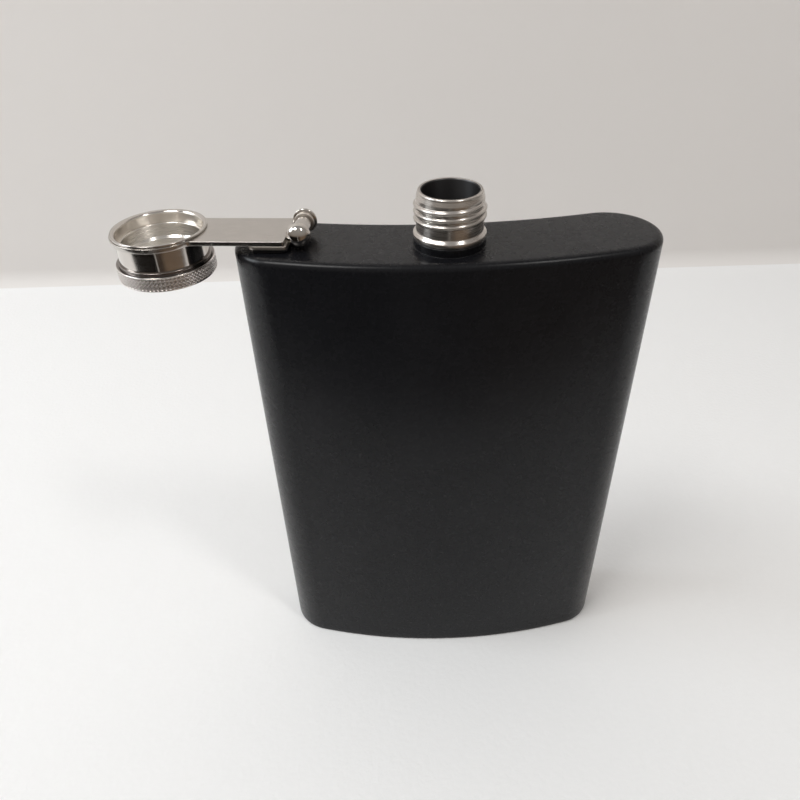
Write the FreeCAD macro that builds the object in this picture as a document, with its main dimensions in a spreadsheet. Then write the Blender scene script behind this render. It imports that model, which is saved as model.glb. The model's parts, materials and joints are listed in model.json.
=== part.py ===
import FreeCAD, Part
import math
import os
import re
import Sketcher

# Hip flask with a captive screw cap, drawn standing on its base.
# Origin: centre of the base. +Z up, X across the width, -Y the convex front face.
# The cap and its arm are drawn screwed down on the neck, then placed swung open.

DOC = FreeCAD.newDocument("HipFlask")

# alias, value in mm (or degrees, or a plain count)
DIMENSIONS = [
    ("body_width", 95.0), ("body_depth", 23.0), ("face_radius", 158.5),
    ("shoulder_z", 129.0), ("wall", 0.6), ("base_rim_z", 2.4), ("base_edge", 0.8),
    ("shoulder_rim", 3.0), ("shoulder_edge", 1.6), ("inner_edge", 1.0),
    ("collar_r", 7.9), ("collar_top", 1.8), ("pad_height", 0.9), ("pad_inset", 0.8),
    ("neck_bore_r", 6.1), ("spigot_r", 7.0), ("spigot_drop", 0.8),
    ("bead_r", 7.9), ("bead_height", 2.2), ("bead_edge", 0.6), ("barrel_r", 7.25),
    ("barrel_top", 10.5), ("lip_r", 6.95), ("neck_top", 12.0), ("lip_edge", 0.3),
    ("thread_pitch", 1.5), ("thread_r", 7.8), ("thread_start", 5.2), ("thread_turns", 3.0),
    ("thread_root_width", 1.1), ("thread_crest_width", 0.35), ("thread_bury", 0.15),
    ("hinge_x", -32.0), ("hinge_y", 2.8), ("pin_height", 3.3), ("pin_r", 1.0),
    ("pin_play", 0.05), ("pin_head_r", 2.7), ("pin_head_height", 2.75), ("pin_head_edge", 2.2),
    ("pin_socket", 1.4), ("ear_r", 2.45), ("ear_inside", 2.6), ("ear_thickness", 0.9),
    ("bracket_length", 11.0), ("bracket_width", 13.0), ("bracket_thickness", 0.85),
    ("bracket_notch", 2.45), ("bracket_corner", 1.0),
    ("arm_width", 13.0), ("arm_thickness", 1.0), ("arm_lift", 0.5), ("arm_root", 2.85),
    ("curl_r", 1.8), ("curl_play", 0.05), ("ring_r", 10.75), ("ring_hole_r", 10.05),
    ("screw_turns", 1.0), ("rim_z", 1.75), ("skirt_r", 9.9), ("skirt_bore_r", 9.45),
    ("rim_r", 10.5), ("rim_thickness", 0.5), ("rim_edge", 0.2), ("ledge_depth", 2.6),
    ("entry_r", 8.7), ("root_r", 8.15), ("root_z", 7.9), ("ridge_r", 7.5),
    ("ridge_root_width", 1.0), ("ridge_crest_width", 0.3), ("ridge_turns", 1.3),
    ("ridge_angle", 108.0), ("ceiling_z", 12.5), ("head_r", 10.95), ("head_band_z", 8.9),
    ("head_band_top", 12.2), ("head_groove_r", 10.15), ("head_groove", 0.4),
    ("head_collar_r", 10.35), ("head_collar", 0.4), ("head_bevel_r", 8.4),
    ("head_bevel_top", 13.3), ("head_top", 13.4),
    ("seal_r", 8.05), ("seal_play", 0.02),
]

# alias and formula: sizes that follow from the driving ones
DERIVED = [
    ("half_width", "=body_width / 2"),
    ("curve_ratio", "=4 * face_radius^2 / body_depth^2"),
    ("side_radius", "=(half_width + sqrt(half_width^2 + curve_ratio * (face_radius^2"
                    " - half_width^2 - body_depth^2 / 4))) / curve_ratio"),
    ("side_y", "=face_radius * (1 - 2 * side_radius / body_depth)"),
    ("arm_reach", "=sqrt(hinge_x^2 + hinge_y^2)"),
    ("screw_travel", "=screw_turns * thread_pitch"),
]


def make_sheet():
    sheet = DOC.addObject("Spreadsheet::Sheet", "Dims")
    for row, (alias, value) in enumerate(DIMENSIONS + DERIVED, start=1):
        sheet.set("A%d" % row, alias)
        sheet.set("B%d" % row, str(value))
        sheet.setAlias("B%d" % row, alias)
    DOC.recompute()
    return sheet


SHEET = make_sheet()


def size(formula):
    """The present value of a formula in the sheet's aliases."""
    return float(SHEET.evalExpression(formula))


def bind(target, path, formula):
    """Bind a property or constraint to a formula in the sheet's aliases."""
    target.setExpression(path, re.sub(r"\b(?=[a-z])", "Dims.", formula))


# ---------------------------------------------------------------- sketch helpers

def new_body(label, placement=None):
    body = DOC.addObject("PartDesign::Body", label)
    body.Label = label
    if placement is not None:
        body.Placement = placement
    return body


def plane(body, role):
    return [item for item in body.Origin.OriginFeatures if item.Role == role][0]


def new_sketch(body, name, role="XY_Plane", lift=None):
    """A sketch on one of the body's own planes, raised along its normal by lift."""
    sketch = body.newObject("Sketcher::SketchObject", body.Name + "_" + name)
    sketch.AttachmentSupport = (plane(body, role), "")
    sketch.MapMode = "FlatFace"
    if lift is not None:
        bind(sketch, "AttachmentOffset.Base.z", lift)
    return sketch


def constrain(sketch, kind, places, formula):
    index = sketch.addConstraint(Sketcher.Constraint(kind, *places, size(formula)))
    bind(sketch, "Constraints[%d]" % index, formula)


def add_circle(sketch, radius, centre_x=None):
    x = size(centre_x) if centre_x else 0.0
    circle = Part.Circle(FreeCAD.Vector(x, 0, 0), FreeCAD.Vector(0, 0, 1), size(radius))
    geo = sketch.addGeometry(circle)
    constrain(sketch, "Radius", (geo,), radius)
    if centre_x:
        constrain(sketch, "DistanceX", (-1, 1, geo, 3), centre_x)
        sketch.addConstraint(Sketcher.Constraint("PointOnObject", geo, 3, -1))
    else:
        sketch.addConstraint(Sketcher.Constraint("Coincident", geo, 3, -1, 1))


def add_polygon(sketch, corners):
    """A closed outline; each corner is (x formula, y formula), None for zero."""
    points = [FreeCAD.Vector(size(x) if x else 0, size(y) if y else 0, 0) for x, y in corners]
    first = sketch.GeometryCount
    for index, start in enumerate(points):
        sketch.addGeometry(Part.LineSegment(start, points[(index + 1) % len(points)]))
    for index, (x, y) in enumerate(corners):
        geo = first + index
        before = first + (index - 1) % len(corners)
        sketch.addConstraint(Sketcher.Constraint("Coincident", before, 2, geo, 1))
        if x:
            constrain(sketch, "DistanceX", (-1, 1, geo, 1), x)
        else:
            sketch.addConstraint(Sketcher.Constraint("PointOnObject", geo, 1, -2))
        if y:
            constrain(sketch, "DistanceY", (-1, 1, geo, 1), y)
        else:
            sketch.addConstraint(Sketcher.Constraint("PointOnObject", geo, 1, -1))


def add_rectangle(sketch, left, right, low, high):
    add_polygon(sketch, [(left, low), (right, low), (right, high), (left, high)])


def add_kidney(sketch, inset=None):
    """The flask's plan: two parallel faces joined by a round side at each end."""
    inset_value = size(inset) if inset else 0.0
    face = size("face_radius")
    side = size("side_radius") - inset_value
    side_x = size("half_width") - size("side_radius")
    side_y = size("side_y")
    front = FreeCAD.Vector(0, face - size("body_depth") / 2, 0)
    back = FreeCAD.Vector(0, face + size("body_depth") / 2, 0)
    front_angle = math.atan2(side_x, front.y - side_y)
    back_angle = math.atan2(side_x, back.y - side_y)
    down = -math.pi / 2
    up = math.pi / 2
    arcs = [
        (front, face - inset_value, down - front_angle, down + front_angle),
        (FreeCAD.Vector(side_x, side_y, 0), side, down + front_angle, up + back_angle),
        (back, face + inset_value, down - back_angle, down + back_angle),
        (FreeCAD.Vector(-side_x, side_y, 0), side, up - back_angle, 3 * up - front_angle),
    ]
    for centre, radius, start, end in arcs:
        circle = Part.Circle(centre, FreeCAD.Vector(0, 0, 1), radius)
        sketch.addGeometry(Part.ArcOfCircle(circle, start, end))
    # arc ends that meet: front/right, right/back, back/left, left/front
    for one, one_end, other, other_end in ((0, 2, 1, 1), (1, 2, 2, 2), (2, 1, 3, 1), (3, 2, 0, 1)):
        sketch.addConstraint(Sketcher.Constraint("Tangent", one, one_end, other, other_end))
    for geo in (0, 2):
        sketch.addConstraint(Sketcher.Constraint("PointOnObject", geo, 3, -2))
    less = " - " + inset if inset else ""
    more = " + " + inset if inset else ""
    constrain(sketch, "Radius", (0,), "face_radius" + less)
    constrain(sketch, "Radius", (2,), "face_radius" + more)
    constrain(sketch, "DistanceY", (-1, 1, 0, 3), "face_radius - body_depth / 2")
    constrain(sketch, "DistanceY", (-1, 1, 2, 3), "face_radius + body_depth / 2")
    constrain(sketch, "Radius", (1,), "side_radius" + less)
    constrain(sketch, "Radius", (3,), "side_radius" + less)


# ---------------------------------------------------------------- feature helpers

def feature(body, kind, name, sketch):
    item = body.newObject("PartDesign::" + kind, body.Name + "_" + name)
    item.Profile = sketch
    sketch.Visibility = False
    return item


def pad(body, sketch, length, name="Pad", both_ways=False):
    item = feature(body, "Pad", name, sketch)
    bind(item, "Length", length)
    item.Midplane = both_ways
    DOC.recompute()
    return item


def pocket(body, sketch, name="Pocket", depth=None, down=True, both_ways=False):
    """Cut to a depth, or right through; checks that it takes material away."""
    before = body.Shape.Volume
    item = feature(body, "Pocket", name, sketch)
    item.Reversed = not down
    item.Midplane = both_ways
    if depth is None:
        item.Type = "ThroughAll"
    else:
        bind(item, "Length", depth)
    DOC.recompute()
    if body.Shape.Volume > before - 1e-6:
        raise RuntimeError(item.Name + " cuts nothing")
    return item


def revolve(body, name, corners):
    """A turned piece: outline of (radius, height) corners about the body's Z axis."""
    sketch = new_sketch(body, name + "Outline", "XZ_Plane")
    add_polygon(sketch, corners)
    item = feature(body, "Revolution", name, sketch)
    item.ReferenceAxis = (sketch, ["V_Axis"])
    item.Angle = 360
    DOC.recompute()
    return item


def ridge(body, name, corners, turns):
    """A right-hand thread ridge with the given section, winding upwards."""
    sketch = new_sketch(body, name + "Section", "XZ_Plane")
    add_polygon(sketch, corners)
    item = feature(body, "AdditiveHelix", name, sketch)
    item.ReferenceAxis = (sketch, ["V_Axis"])
    item.Mode = "pitch-turns-angle"
    bind(item, "Pitch", "thread_pitch")
    bind(item, "Turns", turns)
    item.LeftHanded = False
    DOC.recompute()
    return item


def round_edges(body, radius, chosen, name="Fillet"):
    """Fillet the edges of the body's tip that the test function accepts."""
    base = body.Tip
    edges = ["Edge%d" % (index + 1) for index, edge in enumerate(base.Shape.Edges) if chosen(edge)]
    if not edges:
        raise RuntimeError(name + " found no edge on " + body.Name)
    item = body.newObject("PartDesign::Fillet", body.Name + "_" + name)
    item.Base = (base, edges)
    bind(item, "Radius", radius)
    DOC.recompute()
    return item


def flat_at(height):
    """Accepts edges that lie wholly at one height."""
    def chosen(edge):
        box = edge.BoundBox
        return abs(box.ZMin - height) < 1e-2 and abs(box.ZMax - height) < 1e-2
    return chosen


def rim_at(height, radius):
    """Accepts the full circle of one radius at one height."""
    def chosen(edge):
        curve = edge.Curve
        return (isinstance(curve, Part.Circle) and abs(curve.Radius - radius) < 1e-4
                and abs(curve.Center.z - height) < 1e-4)
    return chosen


# ---------------------------------------------------------------- placements

UP = FreeCAD.Vector(0, 0, 1)
SHOULDER = FreeCAD.Vector(0, 0, size("shoulder_z"))
HINGE_AXIS = FreeCAD.Vector(size("hinge_y"), -size("hinge_x"), 0).normalize()
PIN_CENTRE = SHOULDER + FreeCAD.Vector(size("hinge_x"), size("hinge_y"), size("pin_height"))

# hinge frame: origin on the shoulder under the pin, X towards the neck, Y along the pin
HINGE_TURN = FreeCAD.Rotation(FreeCAD.Vector(0, 1, 0), HINGE_AXIS)
HINGE_FRAME = FreeCAD.Placement(
    SHOULDER + FreeCAD.Vector(size("hinge_x"), size("hinge_y"), 0), HINGE_TURN)
NECK_FRAME = FreeCAD.Placement(SHOULDER, FreeCAD.Rotation())

# the half turn of the arm about the pin, from closed to open
SWING_OPEN = FreeCAD.Placement(FreeCAD.Vector(), FreeCAD.Rotation(HINGE_AXIS, 180), PIN_CENTRE)
# the cap backed off the thread, from screwed down to just free
UNSCREW = FreeCAD.Placement(
    UP * size("screw_travel"), FreeCAD.Rotation(UP, 360 * size("screw_turns")))
CAP_FRAME = SWING_OPEN * NECK_FRAME * UNSCREW


# ---------------------------------------------------------------- flask body

def make_base_plate():
    body = new_body("base_plate")
    outline = new_sketch(body, "Outline")
    add_kidney(outline)
    pad(body, outline, "base_rim_z")
    round_edges(body, "base_edge", flat_at(0))
    hollow = new_sketch(body, "Hollow", lift="base_rim_z")
    add_kidney(hollow, "wall")
    pocket(body, hollow, depth="base_rim_z - wall")


def make_shell(label, front):
    """Half of the drawn body tube, split where its narrow sides are widest."""
    body = new_body(label)
    outline = new_sketch(body, "Outline", lift="base_rim_z")
    add_kidney(outline)
    pad(body, outline, "shoulder_z - shoulder_rim - base_rim_z")
    hollow = new_sketch(body, "Hollow", lift="base_rim_z")
    add_kidney(hollow, "wall")
    pocket(body, hollow, "Hollow", down=False)
    other_half = new_sketch(body, "OtherHalf", lift="base_rim_z")
    far_y = "body_depth" if front else "-body_depth"
    add_rectangle(other_half, "-body_width", "body_width", "side_y", far_y)
    pocket(body, other_half, "Split", down=False)


def make_shoulder_plate():
    body = new_body("shoulder_plate")
    outline = new_sketch(body, "Outline", lift="shoulder_z - shoulder_rim")
    add_kidney(outline)
    pad(body, outline, "shoulder_rim")
    round_edges(body, "shoulder_edge", flat_at(size("shoulder_z")), "TopEdge")
    hollow = new_sketch(body, "Hollow", lift="shoulder_z - shoulder_rim")
    add_kidney(hollow, "wall")
    pocket(body, hollow, "Hollow", depth="shoulder_rim - wall", down=False)
    round_edges(body, "inner_edge", flat_at(size("shoulder_z - wall")), "InnerEdge")
    collar = new_sketch(body, "Collar", lift="shoulder_z - wall / 2")
    add_circle(collar, "collar_r")
    pad(body, collar, "collar_top + wall / 2", "CollarPad")
    seat = new_sketch(body, "Seat", lift="shoulder_z - wall / 2")
    seat.AttachmentOffset = FreeCAD.Placement(HINGE_FRAME.Base, HINGE_TURN)
    bind(seat, "AttachmentOffset.Base.z", "shoulder_z - wall / 2")
    add_rectangle(seat, "pad_inset - bracket_length", "-arm_root",
                  "pad_inset - bracket_width / 2", "bracket_width / 2 - pad_inset")
    pad(body, seat, "pad_height + wall / 2", "SeatPad")
    hole = new_sketch(body, "NeckHole", lift="shoulder_z + collar_top")
    add_circle(hole, "spigot_r")
    pocket(body, hole, "NeckHole")


def make_neck():
    body = new_body("neck", NECK_FRAME)
    revolve(body, "Turned", [
        ("neck_bore_r", "-spigot_drop"), ("spigot_r", "-spigot_drop"),
        ("spigot_r", "collar_top"), ("bead_r", "collar_top"),
        ("bead_r", "collar_top + bead_height"), ("barrel_r", "collar_top + bead_height"),
        ("barrel_r", "barrel_top"), ("lip_r", "barrel_top + barrel_r - lip_r"),
        ("lip_r", "neck_top"), ("neck_bore_r", "neck_top")])
    round_edges(body, "bead_edge", rim_at(size("collar_top + bead_height"), size("bead_r")), "Bead")
    round_edges(body, "lip_edge", rim_at(size("neck_top"), size("lip_r")), "Lip")
    ridge(body, "Thread", [
        ("barrel_r - thread_bury", "thread_start - thread_root_width / 2"),
        ("barrel_r", "thread_start - thread_root_width / 2"),
        ("thread_r", "thread_start - thread_crest_width / 2"),
        ("thread_r", "thread_start + thread_crest_width / 2"),
        ("barrel_r", "thread_start + thread_root_width / 2"),
        ("barrel_r - thread_bury", "thread_start + thread_root_width / 2")], "thread_turns")


# ---------------------------------------------------------------- hinge

def make_bracket():
    """A leaf on the shoulder with an ear at each side, notched for the arm's curl."""
    body = new_body("hinge_bracket", HINGE_FRAME)
    leaf = new_sketch(body, "Leaf", lift="pad_height")
    add_rectangle(leaf, "-bracket_length", "-bracket_notch",
                  "-bracket_width / 2", "bracket_width / 2")
    pad(body, leaf, "bracket_thickness", "LeafPad")
    far_x = -size("bracket_length")
    round_edges(body, "bracket_corner", lambda edge: edge.BoundBox.XMax < far_x + 1e-3
                and edge.BoundBox.ZLength > 0.5 and edge.BoundBox.YLength < 0.1, "Corners")
    for name, lift in (("Front", "ear_inside"), ("Rear", "-ear_inside - ear_thickness")):
        ear = new_sketch(body, name + "Ear", "XZ_Plane", lift)
        disc = Part.Circle(FreeCAD.Vector(0, size("pin_height"), 0), UP, size("ear_r"))
        geo = ear.addGeometry(disc)
        constrain(ear, "Radius", (geo,), "ear_r")
        ear.addConstraint(Sketcher.Constraint("PointOnObject", geo, 3, -2))
        constrain(ear, "DistanceY", (-1, 1, geo, 3), "pin_height")
        pad(body, ear, "ear_thickness", name + "EarPad")
        foot = new_sketch(body, name + "Foot", "XZ_Plane", lift)
        add_rectangle(foot, "-arm_root", None, "pad_height", "pad_height + bracket_thickness")
        pad(body, foot, "ear_thickness", name + "FootPad")
    hole = new_sketch(body, "PinHole", "XZ_Plane")
    circle = Part.Circle(FreeCAD.Vector(0, size("pin_height"), 0), UP, size("pin_r"))
    geo = hole.addGeometry(circle)
    constrain(hole, "Radius", (geo,), "pin_r")
    hole.addConstraint(Sketcher.Constraint("PointOnObject", geo, 3, -2))
    constrain(hole, "DistanceY", (-1, 1, geo, 3), "pin_height")
    pocket(body, hole, "PinHole", both_ways=True)


def pin_frame(along):
    """Z along the pin, starting at an ear's outer face; along is -1 front, +1 rear."""
    reach = size("ear_inside + ear_thickness")
    return FreeCAD.Placement(PIN_CENTRE + HINGE_AXIS * (along * reach),
                             FreeCAD.Rotation(UP, HINGE_AXIS * along))


def make_pin_head(body):
    head = new_sketch(body, "Head")
    add_circle(head, "pin_head_r")
    pad(body, head, "pin_head_height", "HeadPad")
    round_edges(body, "pin_head_edge", flat_at(size("pin_head_height")), "Dome")


def make_pin():
    body = new_body("hinge_pin", pin_frame(-1))
    make_pin_head(body)
    shaft = new_sketch(body, "Shaft")
    add_circle(shaft, "pin_r")
    item = pad(body, shaft, "2 * ear_inside + 2 * ear_thickness + pin_socket", "ShaftPad")
    item.Reversed = True
    DOC.recompute()


def make_pin_cap():
    body = new_body("hinge_pin_cap", pin_frame(1))
    make_pin_head(body)
    socket = new_sketch(body, "Socket")
    add_circle(socket, "pin_r")
    pocket(body, socket, "Socket", depth="pin_socket", down=False)


def make_arm():
    """Strip with a ring for the cap and a curl round the pin, drawn closed."""
    body = new_body("cap_arm", SWING_OPEN * HINGE_FRAME)
    strip = new_sketch(body, "Strip", lift="pin_height + arm_lift")
    add_rectangle(strip, "arm_root", "arm_reach - skirt_r / 2", "-arm_width / 2", "arm_width / 2")
    pad(body, strip, "arm_thickness", "StripPad")
    tongue = new_sketch(body, "Tongue", lift="pin_height + arm_lift")
    add_rectangle(tongue, None, "arm_root + arm_thickness",
                  "curl_play - ear_inside", "ear_inside - curl_play")
    pad(body, tongue, "arm_thickness", "TonguePad")
    ring = new_sketch(body, "Ring", lift="pin_height + arm_lift")
    add_circle(ring, "ring_r", "arm_reach")
    pad(body, ring, "arm_thickness", "RingPad")
    for name, radius in (("Curl", "curl_r"), ("PinBore", "pin_r + pin_play")):
        section = new_sketch(body, name, "XZ_Plane")
        circle = Part.Circle(FreeCAD.Vector(0, size("pin_height"), 0), UP, size(radius))
        geo = section.addGeometry(circle)
        constrain(section, "Radius", (geo,), radius)
        section.addConstraint(Sketcher.Constraint("PointOnObject", geo, 3, -2))
        constrain(section, "DistanceY", (-1, 1, geo, 3), "pin_height")
        if name == "Curl":
            pad(body, section, "2 * ear_inside - 2 * curl_play", "CurlPad", both_ways=True)
        else:
            pocket(body, section, "PinBoreCut", both_ways=True)
    opening = new_sketch(body, "Opening", lift="pin_height + arm_lift + arm_thickness")
    add_circle(opening, "ring_hole_r", "arm_reach")
    pocket(body, opening, "OpeningCut")


# ---------------------------------------------------------------- screw cap

def make_skirt():
    body = new_body("cap_skirt", CAP_FRAME)
    revolve(body, "Spun", [
        ("skirt_bore_r", "rim_z"), ("rim_r", "rim_z"), ("rim_r", "rim_z + rim_thickness"),
        ("skirt_r", "rim_z + rim_thickness"), ("skirt_r", "ceiling_z"),
        ("skirt_bore_r", "ceiling_z")])
    round_edges(body, "rim_edge", rim_at(size("rim_z"), size("rim_r")), "RimEdge")


def make_head():
    body = new_body("knurled_head", CAP_FRAME)
    revolve(body, "Turned", [
        ("skirt_r", "head_band_z - head_groove - head_collar"),
        ("head_collar_r", "head_band_z - head_groove - head_collar"),
        ("head_collar_r", "head_band_z - head_groove"),
        ("head_groove_r", "head_band_z - head_groove"), ("head_groove_r", "head_band_z"),
        ("head_r", "head_band_z"), ("head_r", "head_band_top"),
        ("head_bevel_r", "head_bevel_top"), (None, "head_top"), (None, "ceiling_z"),
        ("skirt_r", "ceiling_z")])


def make_insert():
    turned = CAP_FRAME * FreeCAD.Placement(
        FreeCAD.Vector(), FreeCAD.Rotation(UP, size("ridge_angle")))
    body = new_body("thread_insert", turned)
    revolve(body, "Turned", [
        ("entry_r", "rim_z + ledge_depth"), ("skirt_bore_r", "rim_z + ledge_depth"),
        ("skirt_bore_r", "ceiling_z"), ("root_r", "ceiling_z"), ("root_r", "root_z"),
        ("entry_r", "root_z - entry_r + root_r")])
    start = "thread_start + thread_pitch * (2.5 + ridge_angle / 360)"
    ridge(body, "Thread", [
        ("root_r + thread_bury", start + " + ridge_root_width / 2"),
        ("root_r", start + " + ridge_root_width / 2"),
        ("ridge_r", start + " + ridge_crest_width / 2"),
        ("ridge_r", start + " - ridge_crest_width / 2"),
        ("root_r", start + " - ridge_root_width / 2"),
        ("root_r + thread_bury", start + " - ridge_root_width / 2")], "ridge_turns")


def make_seal():
    body = new_body("seal_disc", CAP_FRAME)
    disc = new_sketch(body, "Disc", lift="neck_top + seal_play")
    add_circle(disc, "seal_r")
    pad(body, disc, "ceiling_z - neck_top - 2 * seal_play")


# ---------------------------------------------------------------- build and write

def check(sub_part):
    shape = sub_part.Shape
    if shape.isNull() or not shape.isValid():
        raise RuntimeError(sub_part.Label + " has no valid shape")
    if len(shape.Solids) != 1:
        raise RuntimeError(sub_part.Label + " has %d solids" % len(shape.Solids))


def main():
    make_base_plate()
    make_shell("front_shell", front=True)
    make_shell("back_shell", front=False)
    make_shoulder_plate()
    make_neck()
    make_bracket()
    make_pin()
    make_pin_cap()
    make_arm()
    make_skirt()
    make_head()
    make_insert()
    make_seal()
    DOC.recompute()
    for item in DOC.Objects:
        if "Invalid" in item.State or "Error" in item.State:
            raise RuntimeError(item.Name + " failed: " + ", ".join(item.State))
    bodies = [item for item in DOC.Objects if item.TypeId == "PartDesign::Body"]
    for body in bodies:
        check(body)
    os.makedirs("parts", exist_ok=True)
    for body in bodies:
        body.Shape.exportStep(os.path.join("parts", body.Label + ".step"))
        print("%-16s %9.2f mm3" % (body.Label, body.Shape.Volume))


main()
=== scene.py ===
import json
import math

import bmesh
import bpy
from mathutils import Matrix, Vector


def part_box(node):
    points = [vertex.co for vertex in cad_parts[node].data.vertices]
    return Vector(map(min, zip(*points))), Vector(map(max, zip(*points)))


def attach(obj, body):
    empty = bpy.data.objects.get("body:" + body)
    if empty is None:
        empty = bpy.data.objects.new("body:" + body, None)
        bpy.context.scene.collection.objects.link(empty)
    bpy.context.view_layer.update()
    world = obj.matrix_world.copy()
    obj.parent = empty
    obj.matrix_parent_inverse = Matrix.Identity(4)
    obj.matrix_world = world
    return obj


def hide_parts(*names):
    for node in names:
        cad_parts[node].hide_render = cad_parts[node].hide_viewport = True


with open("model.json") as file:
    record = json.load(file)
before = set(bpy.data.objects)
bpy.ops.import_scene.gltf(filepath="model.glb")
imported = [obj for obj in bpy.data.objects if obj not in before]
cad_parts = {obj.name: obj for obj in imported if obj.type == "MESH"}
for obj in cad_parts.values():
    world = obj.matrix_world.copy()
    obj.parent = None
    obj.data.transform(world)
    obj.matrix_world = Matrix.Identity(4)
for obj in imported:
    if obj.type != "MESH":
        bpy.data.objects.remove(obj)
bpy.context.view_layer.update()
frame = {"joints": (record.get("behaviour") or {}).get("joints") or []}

# Hip flask with a captive screw cap, resting swung open. Sizes are in millimetres, turned into
# metres when a mesh is made. +Z up, X across the width, -Y the convex front face.
MM = 0.001
JOINTS = {joint["name"]: joint for joint in frame["joints"]}


def box_mm(node):
    low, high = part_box(node)
    return low / MM, high / MM


# ---------------------------------------------------------------- sizes

# body: the plan is two face arcs of one radius, joined by a tangent arc at each side
FACE_R = 158.5
DEPTH = 23.0
WALL = 0.6
WIDTH = box_mm("base_plate")[1].x - box_mm("base_plate")[0].x
BASE_RIM_Z = box_mm("base_plate")[1].z
SHELL_TOP = box_mm("front_shell")[1].z
SHOULDER_HEIGHT = 3.0
SHOULDER_Z = SHELL_TOP + SHOULDER_HEIGHT
COLLAR_TOP = box_mm("shoulder_plate")[1].z
BASE_EDGE = 0.8
BASE_RECESS = 0.35
BASE_RECESS_INSET = 3.0
SHOULDER_EDGE = 1.6
SHOULDER_BEND = 1.0
COLLAR_R = 7.9
SEAT_HEIGHT = 0.9
SEAT_MARGIN = 0.8

HALF_WIDTH = WIDTH / 2
CURVE_RATIO = 4 * FACE_R ** 2 / DEPTH ** 2
SIDE_R = (HALF_WIDTH + math.sqrt(HALF_WIDTH ** 2 + CURVE_RATIO * (
    FACE_R ** 2 - HALF_WIDTH ** 2 - DEPTH ** 2 / 4))) / CURVE_RATIO
SIDE_X = HALF_WIDTH - SIDE_R
SIDE_Y = FACE_R * (1 - 2 * SIDE_R / DEPTH)

# neck
NECK_FOOT, NECK_TOP = box_mm("neck")[0].z, box_mm("neck")[1].z
BORE_R = 6.1
SPIGOT_R = 7.0
BEAD_R = 7.9
BEAD_HEIGHT = 2.2
BARREL_R = 7.25
LIP_R = 6.95
LIP_HEIGHT = 1.5
THREAD_PITCH = 1.5
THREAD_HEIGHT = 0.55
THREAD_HALF_WIDTH = 0.58
THREAD_START = 5.2
THREAD_TURNS = 3.0
THREAD_FADE = 70.0

# hinge: OUTWARD runs from the pin away from the neck; the arm's heights are from the pin
PIN = Vector(JOINTS["arm_swing"]["pos_m"]) / MM
PIN_AXIS = Vector(JOINTS["arm_swing"]["axis"]).normalized()
OUTWARD = Vector((-PIN_AXIS.y, PIN_AXIS.x, 0.0))
PIN_R = 1.0
PIN_HEAD_R = 2.7
PIN_HEAD_HEIGHT = 2.75
PIN_HEAD_WAIST = 0.4
PIN_HEAD_TUCK = math.radians(52)
PIN_SOCKET = 1.4
EAR_R = 2.2
EAR_INSIDE = 2.6
EAR_THICKNESS = 0.9
LEAF_LENGTH = 11.0
LEAF_WIDTH = 13.0
LEAF_THICKNESS = 0.85
LEAF_NOTCH = 2.45
LEAF_TIP = -0.2
ARM_WIDTH = 13.0
ARM_ROOT = 2.85
ARM_LOW, ARM_HIGH = -1.5, -0.5
CURL_R = 1.8
RING_R = 10.75
RING_HOLE_R = 10.05
RING_BLEND = 1.2

# cap: it rests upside down, so its skirt's rim is at the top and its head at the bottom
CAP = Vector(JOINTS["cap_turn"]["pos_m"]) / MM
CAP_REACH = math.hypot(PIN.x - CAP.x, PIN.y - CAP.y)
CAP_TOP = box_mm("cap_skirt")[1].z
CAP_CEILING = box_mm("cap_skirt")[0].z
CAP_BOTTOM = box_mm("knurled_head")[0].z
CAP_ORIGIN = Vector((CAP.x, CAP.y, 0.0))
SKIRT_R = 9.9
SKIRT_BORE_R = 9.45
RIM_R = 10.5
RIM_HEIGHT = 0.5
LEDGE_Z = box_mm("thread_insert")[1].z
HEAD_R = 10.95
HEAD_FACE_R = 8.4
HEAD_GROOVE_R = 10.15
HEAD_COLLAR_R = 10.35
HEAD_STEP = 0.4
HEAD_BAND_LOW, HEAD_BAND_HIGH = CAP_BOTTOM + 1.2, CAP_BOTTOM + 4.5
KNURL_LINES = 76
KNURL_STEPS = 10
KNURL_DEPTH = 0.2
KNURL_FLANK = 4.2
KNURL_MARGIN = 0.2
KNURL_RUN_OUT = 0.25
ROOT_R = 8.15
ENTRY_R = 8.7
RIDGE_HEIGHT = 0.62
RIDGE_HALF_WIDTH = 0.5
RIDGE_FIRST, RIDGE_LAST = -406.0, 62.0
RIDGE_FADE = 60.0
RIDGE_DROP = 4.3
ROOT_DROP = 3.55
SEAL_R = 8.05
SEAL_SINK = 0.12
SEAL_RING_INNER, SEAL_RING_OUTER = 5.9, 7.1


# ---------------------------------------------------------------- outlines

def rounded(corners, closed=True, step=14.0, support=0.06):
    """Points through (x, y, radius) corners, with an arc and a guard point at each side of it."""
    points = []
    count = len(corners)
    for index, (x, y, radius) in enumerate(corners):
        here = Vector((x, y))
        if radius <= 0 or (not closed and index in (0, count - 1)):
            points.append(here)
            continue
        to_last = (Vector(corners[index - 1][:2]) - here).normalized()
        to_next = (Vector(corners[(index + 1) % count][:2]) - here).normalized()
        angle = to_last.angle(to_next)
        tangent = radius / math.tan(angle / 2)
        centre = here + (to_last + to_next).normalized() * radius / math.sin(angle / 2)
        start = here + to_last * tangent - centre
        end = here + to_next * tangent - centre
        parts = max(2, math.ceil(math.degrees(math.pi - angle) / step))
        points.append(here + to_last * (tangent + support))
        for part in range(parts + 1):
            ray = start.normalized().slerp(end.normalized(), part / parts)
            points.append(centre + ray * radius)
        points.append(here + to_next * (tangent + support))
    return points


def circle(radius, centre=(0.0, 0.0), count=96, clockwise=False):
    turn = -1 if clockwise else 1
    return [Vector((centre[0] + radius * math.cos(turn * math.tau * k / count),
                    centre[1] + radius * math.sin(turn * math.tau * k / count)))
            for k in range(count)]


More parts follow.
